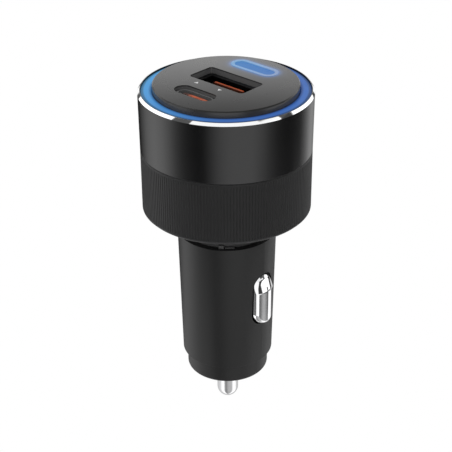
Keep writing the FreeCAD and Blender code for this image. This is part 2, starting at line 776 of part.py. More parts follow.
def make_port_board():
    """The round board under the ports, with its two screws."""
    disc = cylinder("board_disc", spigot_bore - size.board_clearance, size.board_thickness,
                    0, 0, size.board_seat)
    holes = []
    screws = []
    for word, side in (("right", 1), ("left", -1)):
        x = post_offset * side
        hole_radius = size.screw_radius + size.screw_hole_clearance
        holes.append(cylinder("board_hole_" + word, hole_radius, size.board_thickness * 2,
                              x, 0, size.board_seat - size.board_thickness / 2))
        head = cylinder("screw_head_" + word, size.screw_head_radius, size.screw_head_height,
                        x, 0, size.board_seat - size.screw_head_height)
        shank = cylinder("screw_shank_" + word, size.screw_radius, size.screw_length,
                         x, 0, size.board_seat)
        screws.append(fuse("screw_" + word, [head, shank]))
    cut("port_board", disc, holes)
    group("panel_screws", screws)


def make_led_ring():
    """The ring board below the light ring, its lamps and the two pins that feed it."""
    outer = shell_bore - size.led_board_clearance
    inner = outer - size.led_board_width
    top = led_seat + size.led_board_thickness
    turned("led_board", [(inner, led_seat), (outer, led_seat), (outer, top), (inner, top)])

    lamps = []
    for number in range(int(sheet.led_count)):
        angle = 360.0 * number / int(sheet.led_count)
        across = math.cos(math.radians(angle))
        along = math.sin(math.radians(angle))
        near = outer - size.led_inset - size.led_width / 2
        half = size.led_length / 2
        lamp = doc.addObject("Part::Box", "lamp_" + str(number + 1))
        lamp.Placement = Placement(Vector(), Rotation(Vector(0, 0, 1), angle))
        bind(lamp, "Length", size.led_width)
        bind(lamp, "Width", size.led_length)
        bind(lamp, "Height", size.led_height)
        put(lamp, near * across + half * along, near * along - half * across, top)
        lamps.append(lamp)
    group("ring_leds", lamps)

    pins = []
    for word, side in (("back", 1), ("front", -1)):
        pins.append(cylinder("led_pin_" + word, size.led_pin_radius, led_seat - board_top,
                             0, (inner + size.led_pin_inset) * side, board_top))
    group("led_pins", pins)


def make_can(name, x, y, radius, height, top):
    """A hanging can capacitor with the rolled groove near its rubber end."""
    groove_high = top - size.can_collar
    groove_low = groove_high - size.can_groove * 2
    inner = radius - size.can_groove
    can = turned(name, [
        (0, top - height),
        (radius, top - height),
        (radius, groove_low),
        (inner, (groove_low + groove_high) / 2),
        (radius, groove_high),
        (radius, top),
        (0, top),
    ])
    bind(can, "Placement.Base.x", x)
    bind(can, "Placement.Base.y", y)
    return can


def make_parts_under_port_board():
    seat = size.board_seat
    x = (ledge_bore - size.part_inset) * cosine(size.part_angle)
    y = (ledge_bore - size.part_inset) * sine(size.part_angle)
    box("controller_chip", size.chip_length, size.chip_length, size.chip_height,
        -x, -y, seat - size.chip_height)
    block("inductor", size.coil_length, size.coil_length, size.coil_height,
          x, -y, seat - size.coil_height, size.coil_corner)
    make_can("input_capacitor", x, y, size.can_radius, size.can_height, seat)
    make_can("output_capacitor", -x, y, size.can_radius, size.can_height, seat)


def make_main_board():
    """The upright board in the barrel and the parts on its two faces."""
    low = ring_face + size.carrier_floor - size.groove_depth
    turned_box("main_board", size.board_thickness, main_board_width,
               size.board_seat - low, 0, low)
    turned_box("main_chip", size.small_chip_depth, size.small_chip_width,
               size.small_chip_height, board_face + size.small_chip_depth / 2,
               size.small_chip_middle - size.small_chip_height / 2)
    coil_depth = cavity_reach - board_face - size.small_coil_gap
    turned_box("main_inductor", coil_depth, size.small_coil_length,
               size.small_coil_length, board_face + coil_depth / 2,
               size.small_coil_middle - size.small_coil_length / 2)
    can_radius = (cavity_reach - board_face - size.small_can_gap) / 2
    can = cylinder("small_can", can_radius, size.small_can_length, -board_face - can_radius, 0,
                   size.small_can_middle - size.small_can_length / 2)
    turn_with_contacts(group("main_capacitor", [can]))


def turned_box(name, length, width, height, x, z):
    """A box on the plane Y = 0, turned with the side contacts."""
    return turn_with_contacts(group(name, [box(name + "_solid", length, width, height, x, 0, z)]))


# Barrel and nose

def make_barrel():
    """The tapered barrel with two slots and a threaded ring at its foot."""
    tube = turned("barrel_tube", [
        (thread_bore, barrel_foot),
        (barrel_foot_radius, barrel_foot),
        (size.barrel_top_radius, size.barrel_top),
        (barrel_mouth, size.barrel_top),
        (barrel_bore, ring_face),
        (thread_bore, ring_face),
    ])
    tall = size.contact_height + size.slot_gap * 2
    wide = size.contact_width + size.slot_gap * 2
    slots = side_pill("slots", tall, wide, -contact_face, contact_face, size.contact_middle)
    return turn_with_contacts(cut("barrel", tube, [slots]))


def make_nose_cap():
    """The screwed end cap that the centre pin passes through."""
    pin_bore = size.pin_radius + size.pin_clearance
    spigot_high = ring_face - size.nose_spigot_gap
    body = turned("nose_cap", [
        (pin_bore, nose_foot),
        (nose_radius, nose_foot),
        (nose_radius, barrel_foot),
        (nose_spigot, barrel_foot),
        (nose_spigot, spigot_high),
        (nose_cavity, spigot_high),
        (nose_cavity, nose_foot + size.nose_floor),
        (pin_bore, nose_foot + size.nose_floor),
    ])
    doc.recompute()
    solid = body.Tip
    rim_edges = []
    for number, edge in enumerate(solid.Shape.Edges, start=1):
        if not hasattr(edge.Curve, "Radius"):
            continue
        at_foot = abs(edge.CenterOfMass.z - nose_foot.value) < NEAR
        if at_foot and abs(edge.Curve.Radius - nose_radius.value) < NEAR:
            rim_edges.append("Edge" + str(number))
    rounded = body.newObject("PartDesign::Fillet", "nose_round")
    rounded.Base = (solid, rim_edges)
    bind(rounded, "Radius", size.nose_fillet)
    return body


def make_centre_pin():
    """The round-tipped pin with its flange and the stub inside the spring."""
    tip = nose_foot - size.pin_length + size.pin_radius
    flange_radius = nose_cavity - size.pin_flange_gap
    shaft = turned("pin_shaft", [
        (0, tip),
        (size.pin_radius, tip),
        (size.pin_radius, pin_seat),
        (flange_radius, pin_seat),
        (flange_radius, pin_flange_top),
        (size.pin_stub_radius, pin_flange_top),
        (size.pin_stub_radius, pin_flange_top + size.pin_stub_length),
        (0, pin_flange_top + size.pin_stub_length),
    ])
    ball = doc.addObject("Part::Sphere", "pin_ball")
    bind(ball, "Radius", size.pin_radius)
    put(ball, 0, 0, tip)
    return fuse("centre_pin", [shaft, ball])


def make_pin_spring():
    """The coil spring between the pin's flange and the positive terminal."""
    wire = size.coil_spring_wire
    low = pin_flange_top + wire
    height = terminal_under - pin_flange_top - wire * 2
    helix = doc.addObject("Part::Helix", "spring_path")
    bind(helix, "Radius", size.coil_spring_radius)
    bind(helix, "Height", height)
    bind(helix, "Pitch", height / size.coil_spring_turns)
    put(helix, 0, 0, low)
    ring = doc.addObject("Part::Circle", "spring_section")
    ring.Placement = Placement(Vector(), Rotation(Vector(1, 0, 0), 90))
    bind(ring, "Radius", wire)
    put(ring, size.coil_spring_radius, 0, low)
    spring = doc.addObject("Part::Sweep", "pin_spring")
    spring.Sections = [ring]
    spring.Spine = (helix, ["Edge1"])
    spring.Solid = True
    spring.Frenet = True
    return spring


# Side contacts, their springs and the carrier

def make_ground_contact(word, half_turns):
    """A side contact: a crowned pad through the barrel's slot and a flange behind it."""
    middle = size.contact_middle
    high = middle + size.contact_height / 2
    low = middle - size.contact_height / 2
    pad_back = contact_back + size.contact_flange
    prism = side_pill("contact_prism_" + word, size.contact_height, size.contact_width,
                      contact_back, contact_face, middle)
    crown = cylinder("contact_crown_" + word, size.contact_crown, size.contact_height * 2,
                     contact_face - size.contact_crown, 0, middle - size.contact_height)
    side_view = doc.addObject("PartDesign::Body", "contact_side_" + word)
    sketch = outline(side_view, "contact_side_section_" + word, "XZ_Plane", [
        (contact_back, low),
        (contact_face - size.contact_toe_drop, low),
        (contact_face, low + size.contact_toe),
        (contact_face, high - size.contact_ramp),
        (contact_face - size.contact_ramp_drop, high),
        (contact_back, high),
    ])
    pad = side_view.newObject("PartDesign::Pad", "contact_side_pad_" + word)
    pad.Profile = sketch
    pad.Midplane = True
    bind(pad, "Length", size.contact_width * 2)
    body = common("contact_pad_" + word, [prism, crown, side_view])
    flange = side_pill("contact_flange_plate_" + word,
                       size.contact_height + size.contact_flange_margin * 2,
                       size.contact_width + size.contact_flange_margin * 2,
                       contact_back, pad_back, middle)
    item = fuse("ground_contact_" + word, [body, flange])
    return turn_with_contacts(item, half_turns)


def make_ground_spring(word, half_turns):
    """A bowed leaf spring between the carrier's flat and the contact's flange."""
    middle = size.contact_middle
    back = carrier_flat + size.seat_gap
    front = contact_back - size.seat_gap
    thick = size.leaf_thickness
    end = size.leaf_half_height
    knee = end - size.leaf_foot
    body = doc.addObject("PartDesign::Body", "ground_spring_" + word)
    sketch = outline(body, "leaf_section_" + word, "XZ_Plane", [
        (back, middle - end),
        (back + thick, middle - end),
        (back + thick, middle - knee),
        (front, middle - size.leaf_foot),
        (front, middle + size.leaf_foot),
        (back + thick, middle + knee),
        (back + thick, middle + end),
        (back, middle + end),
        (back, middle + knee),
        (front - thick, middle + size.leaf_foot),
        (front - thick, middle - size.leaf_foot),
        (back, middle - knee),
    ])
    pad = body.newObject("PartDesign::Pad", "leaf_pad_" + word)
    pad.Profile = sketch
    pad.Midplane = True
    bind(pad, "Length", size.leaf_width)
    return turn_with_contacts(body, half_turns)


def make_inner_carrier():
    """The insulating insert that holds the board and backs the side contacts' springs."""
    high = neck_foot - size.carrier_top_gap
    low = ring_face
    solid = cylinder("carrier_solid", carrier_radius, high - low, 0, 0, low)
    cavity_low = low + size.carrier_floor
    cavity = box("carrier_cavity", cavity_reach * 2,
                 (carrier_radius - size.carrier_side_wall) * 2, high - low, 0, 0, cavity_low)
    groove = box("carrier_groove", size.board_thickness + size.groove_clearance * 2,
                 main_board_width + size.groove_clearance * 2, high - low,
                 0, 0, cavity_low - size.groove_depth)
    flange_reach = size.contact_height / 2 + size.contact_flange_margin
    pocket_low = size.contact_middle - flange_reach - size.pocket_end_gap
    pocket_width = size.contact_width + (size.contact_flange_margin + size.pocket_side_gap) * 2
    tools = [cavity, groove]
    for word, side in (("right", 1), ("left", -1)):
        middle = (carrier_flat + carrier_radius) * side
        tools.append(box("carrier_pocket_" + word, carrier_radius * 2, pocket_width,
                         (high - pocket_low) * 2, middle, 0, pocket_low))
    hole = cylinder("carrier_hole", size.terminal_stem_radius + size.terminal_clearance,
                    size.carrier_floor * 2, 0, 0, low - size.carrier_floor / 2)
    return turn_with_contacts(cut("inner_carrier", solid, tools + [hole]))


def make_positive_terminal():
    """The headed rivet that joins the pin spring to the main board."""
    board_low = ring_face + size.carrier_floor - size.groove_depth
    return turned("positive_terminal", [
        (0, terminal_under),
        (size.terminal_radius, terminal_under),
        (size.terminal_radius, ring_face),
        (size.terminal_stem_radius, ring_face),
        (size.terminal_stem_radius, board_low),
        (0, board_low),
    ])


def write_steps(names):
    doc.recompute()
    for item in doc.Objects:
        if "Invalid" in item.State or "Error" in item.State:
            raise RuntimeError(item.Name + " failed: " + str(item.State))
    os.makedirs("parts", exist_ok=True)
    for name in names:
        item = doc.getObject(name)
        item.Label = name
        shape = item.Shape
        if shape.isNull() or not shape.isValid() or not shape.Solids:
            raise RuntimeError(name + " has no valid solid")
        shape.exportStep(os.path.join("parts", name + ".step"))


NODES = [
    "upper_shell", "lower_shell", "neck", "light_ring", "front_panel", "button_light_guide",
    "power_button", "button_switch", "switch_plunger", "usb_a_shell", "usb_a_insulator",
    "usb_a_contacts", "usb_c_shell", "usb_c_insulator", "usb_c_contacts", "port_board",
    "panel_screws", "led_board", "ring_leds", "led_pins", "controller_chip", "inductor",
    "input_capacitor", "output_capacitor", "main_board", "main_chip", "main_inductor",
    "main_capacitor", "barrel", "nose_cap", "centre_pin", "pin_spring",
    "ground_contact_right", "ground_contact_left", "ground_spring_right",
    "ground_spring_left", "inner_carrier", "positive_terminal",
]

make_upper_shell()
make_lower_shell()
make_neck()
make_light_ring()
make_front_panel()
make_button_light_guide()
make_power_button()
make_switch()
make_wide_port()
make_small_port()
make_port_board()
make_led_ring()
make_parts_under_port_board()
make_main_board()
make_barrel()
make_nose_cap()
make_centre_pin()
make_pin_spring()
for side_word, half in (("right", 0), ("left", 1)):
    make_ground_contact(side_word, half)
    make_ground_spring(side_word, half)
make_inner_carrier()
make_positive_terminal()
write_steps(NODES)
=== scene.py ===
import json
import math

import bmesh
import bpy
from mathutils import Matrix, Vector


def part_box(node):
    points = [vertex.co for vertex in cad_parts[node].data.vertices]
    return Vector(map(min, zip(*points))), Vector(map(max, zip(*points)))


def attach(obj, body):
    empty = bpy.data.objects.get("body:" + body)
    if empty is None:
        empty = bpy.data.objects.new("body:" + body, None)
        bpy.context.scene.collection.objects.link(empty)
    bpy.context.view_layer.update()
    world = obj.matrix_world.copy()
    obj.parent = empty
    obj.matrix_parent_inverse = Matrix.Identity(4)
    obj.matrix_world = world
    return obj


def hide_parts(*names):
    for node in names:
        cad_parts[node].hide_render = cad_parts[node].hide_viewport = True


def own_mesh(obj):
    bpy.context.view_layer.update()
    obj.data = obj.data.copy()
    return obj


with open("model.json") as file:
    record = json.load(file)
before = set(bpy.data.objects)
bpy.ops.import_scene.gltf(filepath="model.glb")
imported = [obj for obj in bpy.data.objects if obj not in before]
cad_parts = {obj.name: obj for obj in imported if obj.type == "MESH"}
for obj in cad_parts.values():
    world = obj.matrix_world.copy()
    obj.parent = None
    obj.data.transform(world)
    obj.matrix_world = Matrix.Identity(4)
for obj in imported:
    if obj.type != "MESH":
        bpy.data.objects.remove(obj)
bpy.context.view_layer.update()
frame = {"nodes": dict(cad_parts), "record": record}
nodes = frame["nodes"]

MM = 0.001

# Camera, fitted to the photograph
CAMERA_TARGET = Vector((0, 0, -5.49)) * MM
CAMERA_DISTANCE = 256.54 * MM
CAMERA_AZIMUTH = math.radians(42.6)
CAMERA_ELEVATION = math.radians(29.06)
CAMERA_ROLL = math.radians(0.327)
CAMERA_LENS = 94.88
CAMERA_SENSOR = 36
CAMERA_SHIFT = 0.00198
CAMERA_NEAR = 0.01
CAMERA_FAR = 20

# Levels and radii of the head, read from the model
HEAD_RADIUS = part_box("upper_shell")[1].x
HEAD_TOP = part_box("upper_shell")[1].z
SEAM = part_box("upper_shell")[0].z
PANEL_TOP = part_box("front_panel")[1].z
PANEL_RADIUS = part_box("front_panel")[1].x
RING_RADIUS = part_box("light_ring")[1].x
RING_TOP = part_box("light_ring")[1].z
RING_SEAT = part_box("light_ring")[0].z
# The head's trim and the hidden bores of its sleeve
BEVEL_WIDTH = 0.44 * MM
BEVEL_HEIGHT = 0.6 * MM
# The bevel's finish starts this far above its lower edge
BEVEL_START = 0.02 * MM
BAND_CHAMFER = 0.15 * MM
HEAD_FLARE = 0.1 * MM
SHELL_BORE = HEAD_RADIUS - 1.8 * MM
WAIST_BORE = SHELL_BORE - 1.2 * MM
SPIGOT_ROOM = 3.5 * MM
LED_SPACE = 1.8 * MM
RING_BORE = RING_RADIUS - 2.2 * MM
RING_ROOM = 0.1 * MM
RING_CHAMFER_WIDTH = 0.5 * MM
RING_CHAMFER_HEIGHT = 0.15 * MM
# The side on which the ring is lit most, as a direction
LIGHT_SIDE_X = -0.93
LIGHT_SIDE_Y = -0.37
# Depth of the rib crests, worn smoother above grooves painted lighter; heights where the lip's
# painted highlight ends
RIB_WEAR_AND_GROOVE_LIGHT = 0.08 * MM
LIP_HIGHLIGHT_FROM = 0.5 * MM
LIP_HIGHLIGHT_TO = 0.8 * MM

# Fineness of the turned shapes and of their corners, and the angles in degrees from which edges
# stay crisp
LATHE_SEGMENTS = 240
ARC_STEPS = 6
LATHE_CREASE = 35
CREASE = 50

# The panel: where the ports and the button's light guide sit, and how its face is formed
PORT_X = -0.83 * MM
BUTTON_Y = 9.68 * MM
GUIDE_LENGTH = 11.8 * MM
GUIDE_WIDTH = 4.4 * MM
# How fast the slightly crowned face leans outward, per metre from the axis
PANEL_CROWN = 7.0
# How far the moulding's upright walls lean back
PANEL_DRAFT = 0.16
# Depths below the face where the walls' painted light gives way to the face, and of its painted
# glow
FACE_FROM = 0.35 * MM
FACE_TO = 0.2 * MM
PAINTED_GLOW_DEPTH = 0.5 * MM
# The distances from the rim between which the outer wall begins
WALL_FROM = 1 * MM
WALL_TO = 0.7 * MM
# How far the button's painted glow reaches into the panel
PAINTED_HALO_REACH = 0.45 * MM

# The tongues in the ports: where the painted light on their tips starts, and how gradually
WIDE_TONGUE_X = PORT_X - 5 * MM
WIDE_TONGUE_Y = 1.6 * MM
SMALL_TONGUE_X = PORT_X - 2.2 * MM
SMALL_TONGUE_Y = -8.7 * MM
TONGUE_FADE_X = 1.5 * MM
TONGUE_FADE_Y = 0.15 * MM
TIP_FROM = 0.25 * MM
TIP_TO = 0.05 * MM

# The two printed triangles
MARK_WIDTH = 0.95 * MM
MARK_HEIGHT = 0.8 * MM
MARK_THICKNESS = 0.015 * MM
MARK_CORNER = 0.006 * MM
MARK_UP_X = -4.28 * MM
MARK_DOWN_X = 1.72 * MM
MARK_Y = -3.98 * MM

# The side contacts, as in the model
CONTACT_TURN = math.radians(1.6)
CONTACT_MIDDLE = -19.67 * MM
CONTACT_HEIGHT = 11.9 * MM
CONTACT_WIDTH = 5.5 * MM
CONTACT_FACE = 11.6 * MM
CONTACT_BACK = 7.4 * MM
CONTACT_FLANGE = 0.7 * MM
CONTACT_MARGIN = 0.6 * MM
CONTACT_RAMP = 3.6 * MM
CONTACT_CROWN = 4.7 * MM
# How steeply the upper end falls back
CONTACT_SLOPE = 0.3
# Width of the rounded edge in millimetres, and what the upper and the lower end add to it
CONTACT_EDGE = 0.45
CONTACT_UPPER_EDGE = 0.7
CONTACT_LOWER_EDGE = 0.5
# How fast the rounded edge falls, per millimetre, and how much less it does so at the upper end
CONTACT_FALL = 0.95
CONTACT_UPPER_FALL = 0.5
CONTACT_STEPS = 40
CONTACT_ROWS = 30
# Rows stand closer together near the edge than near the middle line
CONTACT_CROWDING = 1.3

# The springs, as in the model
LEAF_BACK = 6.42 * MM
LEAF_FRONT = 7.38 * MM
LEAF_THICKNESS = 0.22 * MM
LEAF_WIDTH = 3.0 * MM
LEAF_REACH = 5.6 * MM
LEAF_FOOT = 0.9 * MM
COIL_RADIUS = 2.3 * MM
COIL_WIRE = 0.3 * MM
COIL_TURNS = 4.5
COIL_STEPS = 126
COIL_SIDES = 12

# Floor and lamp
FLOOR_LEVEL = -0.4
FLOOR_REACH = 6
FLOOR_TONE = 0.85
LAMP_PLACE = (0.05, -0.15, 0.6)
LAMP_SIZE = 0.7
LAMP_POWER = 1.4

# The studio round the object, in layers from the ground up. Each starts at a height, in degrees
# above the horizon, with a softness, and says how bright it is by degrees round the heading of
# the photograph
STUDIO_LAYERS = [
    (-90, 1, [
        (-180, 0.6), (-119, 0.66), (-85, 0.8), (-62, 1.4), (-42, 1.3), (-33, 0.4), (-14, 0.25),
        (-4, 0.38), (12, 0.5), (30, 0.5), (45, 0.55), (56, 1.1), (78, 1.4), (96, 1.2), (108, 0.7),
        (125, 0.6), (180, 0.6),
    ]),
    (-34.7, 2, [
        (-180, 0.05), (-150, 0.05), (-136, 0.35), (-120, 0.85), (-106, 1.4), (-92, 1.5),
        (-80, 1.2), (-68, 0.55), (-55, 0.18), (-40, 0.03), (-30, 0.06), (-20, 0.5), (-8, 1.1),
        (5, 1.4), (38, 1.4), (43, 0.13), (53, 0.18), (63, 0.38), (73, 0.45), (83, 0.34),
        (93, 0.2), (101, 0.25), (106, 1.4), (126, 1.4), (131, 0.3), (143, 0.11), (153, 0.16),
        (180, 0.1),
    ]),
    (-29.8, 2, [
        (-180, 0.02), (-154, 0.02), (-138, 0.25), (-122, 0.8), (-108, 1.35), (-92, 1.55),
        (-80, 1.2), (-68, 0.55), (-55, 0.18), (-40, 0.03), (-30, 0.06), (-20, 0.5), (-8, 1.1),
        (5, 1.4), (34, 1.4), (47, 1.1), (58, 0.45), (70, 0.1), (84, 0.03), (98, 0.05), (112, 0.1),
        (122, 0.5), (138, 0.95), (148, 0.8), (158, 0.4), (180, 0.2),
    ]),
    (-14, 4, [
        (-180, 1.3), (-152, 1.0), (-149, 0.1), (-142, 0.1), (-140, 1.6), (-60, 1.2), (-50, 0.1),
        (-30, 0.1), (-20, 1.2), (20, 1.2), (26, 0.05), (56, 0.05), (60, 1.4), (138, 1.6),
        (142, 1.6), (144, 0.1), (148, 0.1), (152, 1.0), (180, 1.3),
    ]),
    (36, 6, [(-180, 1), (180, 1)]),
]
# A ramp holds values up to 1, so the layers are divided by this on the way through it
LAYER_SCALE = 4.0
# Screens in front of the layers: left, right, low and high edge in degrees, softness across and
# upwards, brightness
STUDIO_SCREENS = [
    (-78, -53, 26, 52, 2, 6, 0.09),
    (79, 98, 26, 48, 3, 6, 0.09),
    (113, 150, -18, 1, 3, 3, 0.05),
    (30, 96, 14, 32, 3, 3, 0.05),
    (50, 150, 45, 80, 5, 5, 0.06),
    (99, 150, 31, 50, 3, 3, 0.06),
]
# The same on both sides at once
STUDIO_BACK = [
    (110, 200, 28, 95, 20, 10, 0.3),
    (-20, 200, 57, 100, 10, 5, 0.15),
]


# Camera

def make_camera():
    """The camera of the photograph."""
    data = bpy.data.cameras.new("photo_camera")
    camera = bpy.data.objects.new("photo_camera", data)
    bpy.context.scene.collection.objects.link(camera)
    flat = math.cos(CAMERA_ELEVATION)
    back = Vector((
        math.sin(CAMERA_AZIMUTH) * flat,
        -math.cos(CAMERA_AZIMUTH) * flat,
        math.sin(CAMERA_ELEVATION),
    ))
    camera.location = CAMERA_TARGET + back * CAMERA_DISTANCE
    look = (-back).to_track_quat("-Z", "Y").to_matrix().to_4x4()
    roll = Matrix.Rotation(-CAMERA_ROLL, 4, "Z")
    camera.matrix_world = Matrix.Translation(camera.location) @ look @ roll
    data.lens = CAMERA_LENS
    data.sensor_width = CAMERA_SENSOR
    data.shift_x = -CAMERA_SHIFT
    data.clip_start = CAMERA_NEAR
    data.clip_end = CAMERA_FAR
    bpy.context.scene.camera = camera


# Materials

class Graph:
    """Short calls for making and joining the nodes of one material or world."""

    def __init__(self, tree):
        self.tree = tree
        tree.nodes.clear()

    def add(self, kind, **settings):
        node = self.tree.nodes.new(kind)
        for name, value in settings.items():
            setattr(node, name, value)
        return node

    def put(self, value, target):
        """Join a socket to another, or set it to a plain value."""
        if isinstance(value, bpy.types.NodeSocket):
            self.tree.links.new(value, target)
        else:
            target.default_value = value

    def math(self, operation, first, second=None):
        node = self.add("ShaderNodeMath", operation=operation)
        self.put(first, node.inputs[0])
        if second is not None:
            self.put(second, node.inputs[1])
        return node.outputs[0]

    def ramp(self, source, stops):
        """Colours that follow a value from 0 to 1."""
        node = self.add("ShaderNodeValToRGB")
        elements = node.color_ramp.elements
        elements.remove(elements[-1])
        for index, (place, color) in enumerate(stops):
            element = elements[0] if index == 0 else elements.new(place)
            element.position = place
            element.color = (*color, 1)
        self.put(source, node.inputs["Fac"])
        return node.outputs["Color"]

    def place(self):
        """The point on the object, in metres."""
        return self.add("ShaderNodeTexCoord").outputs["Object"]

    def split(self, vector):
        node = self.add("ShaderNodeSeparateXYZ")
        self.put(vector, node.inputs[0])
        return node.outputs

    def length(self, along, across):
        """The length of a line from how far it goes along and across."""
        along = self.math("MULTIPLY", along, along)
        across = self.math("MULTIPLY", across, across)
        return self.math("SQRT", self.math("ADD", along, across))

    def noise(self, size, detail):
        """Noise whose grains are about size millimetres across."""
        node = self.add("ShaderNodeTexNoise")
        node.inputs["Scale"].default_value = 1 / (size * MM)
        node.inputs["Detail"].default_value = detail
        self.put(self.place(), node.inputs["Vector"])
        return node.outputs["Fac"]

    def span(self, source, low, high, start=0.3, stop=0.7, smooth=False):
        """A value that goes from low to high while the source goes from start to stop."""
        node = self.add("ShaderNodeMapRange")
        if smooth:
            node.interpolation_type = "SMOOTHSTEP"
        node.inputs["From Min"].default_value = start
        node.inputs["From Max"].default_value = stop
        node.inputs["To Min"].default_value = low
        node.inputs["To Max"].default_value = high
        self.put(source, node.inputs["Value"])
        return node.outputs["Result"]

    def mix(self, share, first, second, blend="MIX"):
        """A colour between two colours, or another blend of the two."""
        node = self.add("ShaderNodeMix", data_type="RGBA", blend_type=blend)
        self.put(share, node.inputs["Factor"])
        for name, value in (("A", first), ("B", second)):
            plain = not isinstance(value, bpy.types.NodeSocket)
            socket = next(item for item in node.inputs
                          if item.name == name and item.type == "RGBA")
            self.put((*value, 1) if plain else value, socket)
        return next(item for item in node.outputs if item.type == "RGBA")

    def bump(self, height, distance, edge=0.0):
        """A bumped normal, on top of edges that are softened by a radius, both in millimetres."""
        node = self.add("ShaderNodeBump")
        node.inputs["Distance"].default_value = distance * MM
        self.put(height, node.inputs["Height"])
        if edge:
            soft = self.add("ShaderNodeBevel", samples=6)
            soft.inputs["Radius"].default_value = edge * MM
            self.put(soft.outputs[0], node.inputs["Normal"])
        return node.outputs["Normal"]

    def rays(self, *kinds):
        """1 for rays of any of these kinds, and 0 for all others."""
        path = self.add("ShaderNodeLightPath")
        share = path.outputs[kinds[0]]
        for kind in kinds[1:]:
            share = self.math("MAXIMUM", share, path.outputs[kind])
        return share

    def choose(self, share, first, second, output):
        """Show the first shader, or the second where the share is 1."""
        mix = self.add("ShaderNodeMixShader")
        self.put(share, mix.inputs[0])
        self.put(first.outputs[0], mix.inputs[1])
        self.put(second.outputs[0], mix.inputs[2])
        self.put(mix.outputs[0], self.add(output).inputs["Surface"])


def new_material(name):
    """A material with its node graph and its shader."""
    material = bpy.data.materials.new(name)
    material.use_nodes = True
    graph = Graph(material.node_tree)
    shader = graph.add("ShaderNodeBsdfPrincipled")
    output = graph.add("ShaderNodeOutputMaterial")
    graph.put(shader.outputs["BSDF"], output.inputs["Surface"])
    return material, graph, shader


def shade(color, factor):
    """The colour, made darker or lighter."""
    return tuple(channel * factor for channel in color)


def grained(name, color, roughness, grain=0.15, depth=0.003, edge=0.06, spread=0.12,
            specular=0.5):
    """Moulded or painted surface: its colour, roughness and height vary at two scales."""
    material, graph, shader = new_material(name)
    fine = graph.noise(grain, 3)
    broad = graph.noise(5, 5)
    tone = graph.math("MULTIPLY", graph.math("ADD", fine, broad), 0.5)
    base = graph.ramp(tone, [(0.3, shade(color, 1 - spread)), (0.7, shade(color, 1 + spread))])
    graph.put(base, shader.inputs["Base Color"])
    graph.put(graph.span(broad, roughness * 0.97, roughness * 1.03), shader.inputs["Roughness"])
    graph.put(graph.bump(fine, depth, edge), shader.inputs["Normal"])
    shader.inputs["Specular IOR Level"].default_value = specular
    return material


def polished(name, color, roughness, spread=0.05, depth=0.0006, edge=0.05):
    """Bright metal with faint handling marks."""
    material, graph, shader = new_material(name)
    fine = graph.noise(0.25, 5)
    broad = graph.noise(3, 4)
    base = graph.ramp(broad, [(0.35, shade(color, 1 - spread)), (0.65, color)])
    graph.put(base, shader.inputs["Base Color"])
    graph.put(graph.span(fine, roughness * 0.75, roughness * 1.3), shader.inputs["Roughness"])
    graph.put(graph.bump(fine, depth, edge), shader.inputs["Normal"])
    shader.inputs["Metallic"].default_value = 1.0
    return material


def drift(graph, cloud, amount):
    """A small shift, up or down, that follows the noise."""
    return graph.math("MULTIPLY", graph.math("SUBTRACT", cloud, 0.5), amount)


def lit_ring():
    """Milky ring, lit by the lamps below: lighter on one side and along its middle, with a
    painted shadow on its inner edge.
    """
    material, graph, shader = new_material("blue_diffuser")
    x, y, _ = graph.split(graph.place())
    radius = graph.length(x, y)
    along_x = graph.math("MULTIPLY", x, LIGHT_SIDE_X)
    along_y = graph.math("MULTIPLY", y, LIGHT_SIDE_Y)
    cosine = graph.math("DIVIDE", graph.math("ADD", along_x, along_y), radius)
    # 1 on the light side and 0 opposite
    share = graph.math("ADD", graph.math("MULTIPLY", cosine, 0.5), 0.5)
    cloud = graph.noise(2, 3)
    turn = graph.math("ADD", share, drift(graph, cloud, 0.15))
    light = graph.ramp(turn, [
        (0.0, (0.045, 0.14, 0.45)), (0.1, (0.044, 0.127, 0.42)), (0.35, (0.046, 0.132, 0.42)),
        (0.66, (0.06, 0.22, 0.53)), (0.85, (0.065, 0.28, 0.62)), (1.0, (0.06, 0.31, 0.64)),
    ])
    # Across the ring: a painted shadow darkens the inner edge, where the panel's wall shades it,
    # and the glow turns darker and warmer towards the outer chamfer
    out = graph.span(radius, 0, 1, RING_BORE, RING_RADIUS)
    edge = graph.ramp(out, [
        (0.0, (0.18, 0.22, 0.28)), (0.1, (0.34, 0.38, 0.44)), (0.22, (0.72, 0.75, 0.78)),
        (0.34, (1, 1, 1)), (0.66, (1, 1, 1)), (0.74, (0.85, 0.78, 0.72)),
        (0.8, (0.62, 0.52, 0.46)), (1.0, (0.6, 0.42, 0.34)),
    ])
    graph.put(graph.mix(1, light, edge, "MULTIPLY"), shader.inputs["Emission Color"])
    shader.inputs["Emission Strength"].default_value = 0.92
    shader.inputs["Specular IOR Level"].default_value = 0.05
    base = graph.mix(share, (0.012, 0.025, 0.06), (0.014, 0.04, 0.09))
    graph.put(base, shader.inputs["Base Color"])
    graph.put(graph.span(cloud, 0.3, 0.36), shader.inputs["Roughness"])
    graph.put(graph.bump(graph.noise(0.12, 2), 0.002), shader.inputs["Normal"])
    return material


def pill_distance(graph):
    """Distance in metres from the line along the button's middle."""
    x, y, _ = graph.split(graph.place())
    half = (GUIDE_LENGTH - GUIDE_WIDTH) / 2
    along = graph.math("ABSOLUTE", graph.math("SUBTRACT", x, PORT_X))
    along = graph.math("MAXIMUM", graph.math("SUBTRACT", along, half), 0.0)
    return graph.length(along, graph.math("SUBTRACT", y, BUTTON_Y))


def along_guide(graph, cloud, amount):
    """A share that goes from 0 to 1 along the light guide, slightly uneven."""
    x, _, _ = graph.split(graph.place())
    half = GUIDE_LENGTH / 2
    share = graph.span(x, 0, 1, PORT_X - half, PORT_X + half)
    return graph.math("ADD", share, drift(graph, cloud, amount))


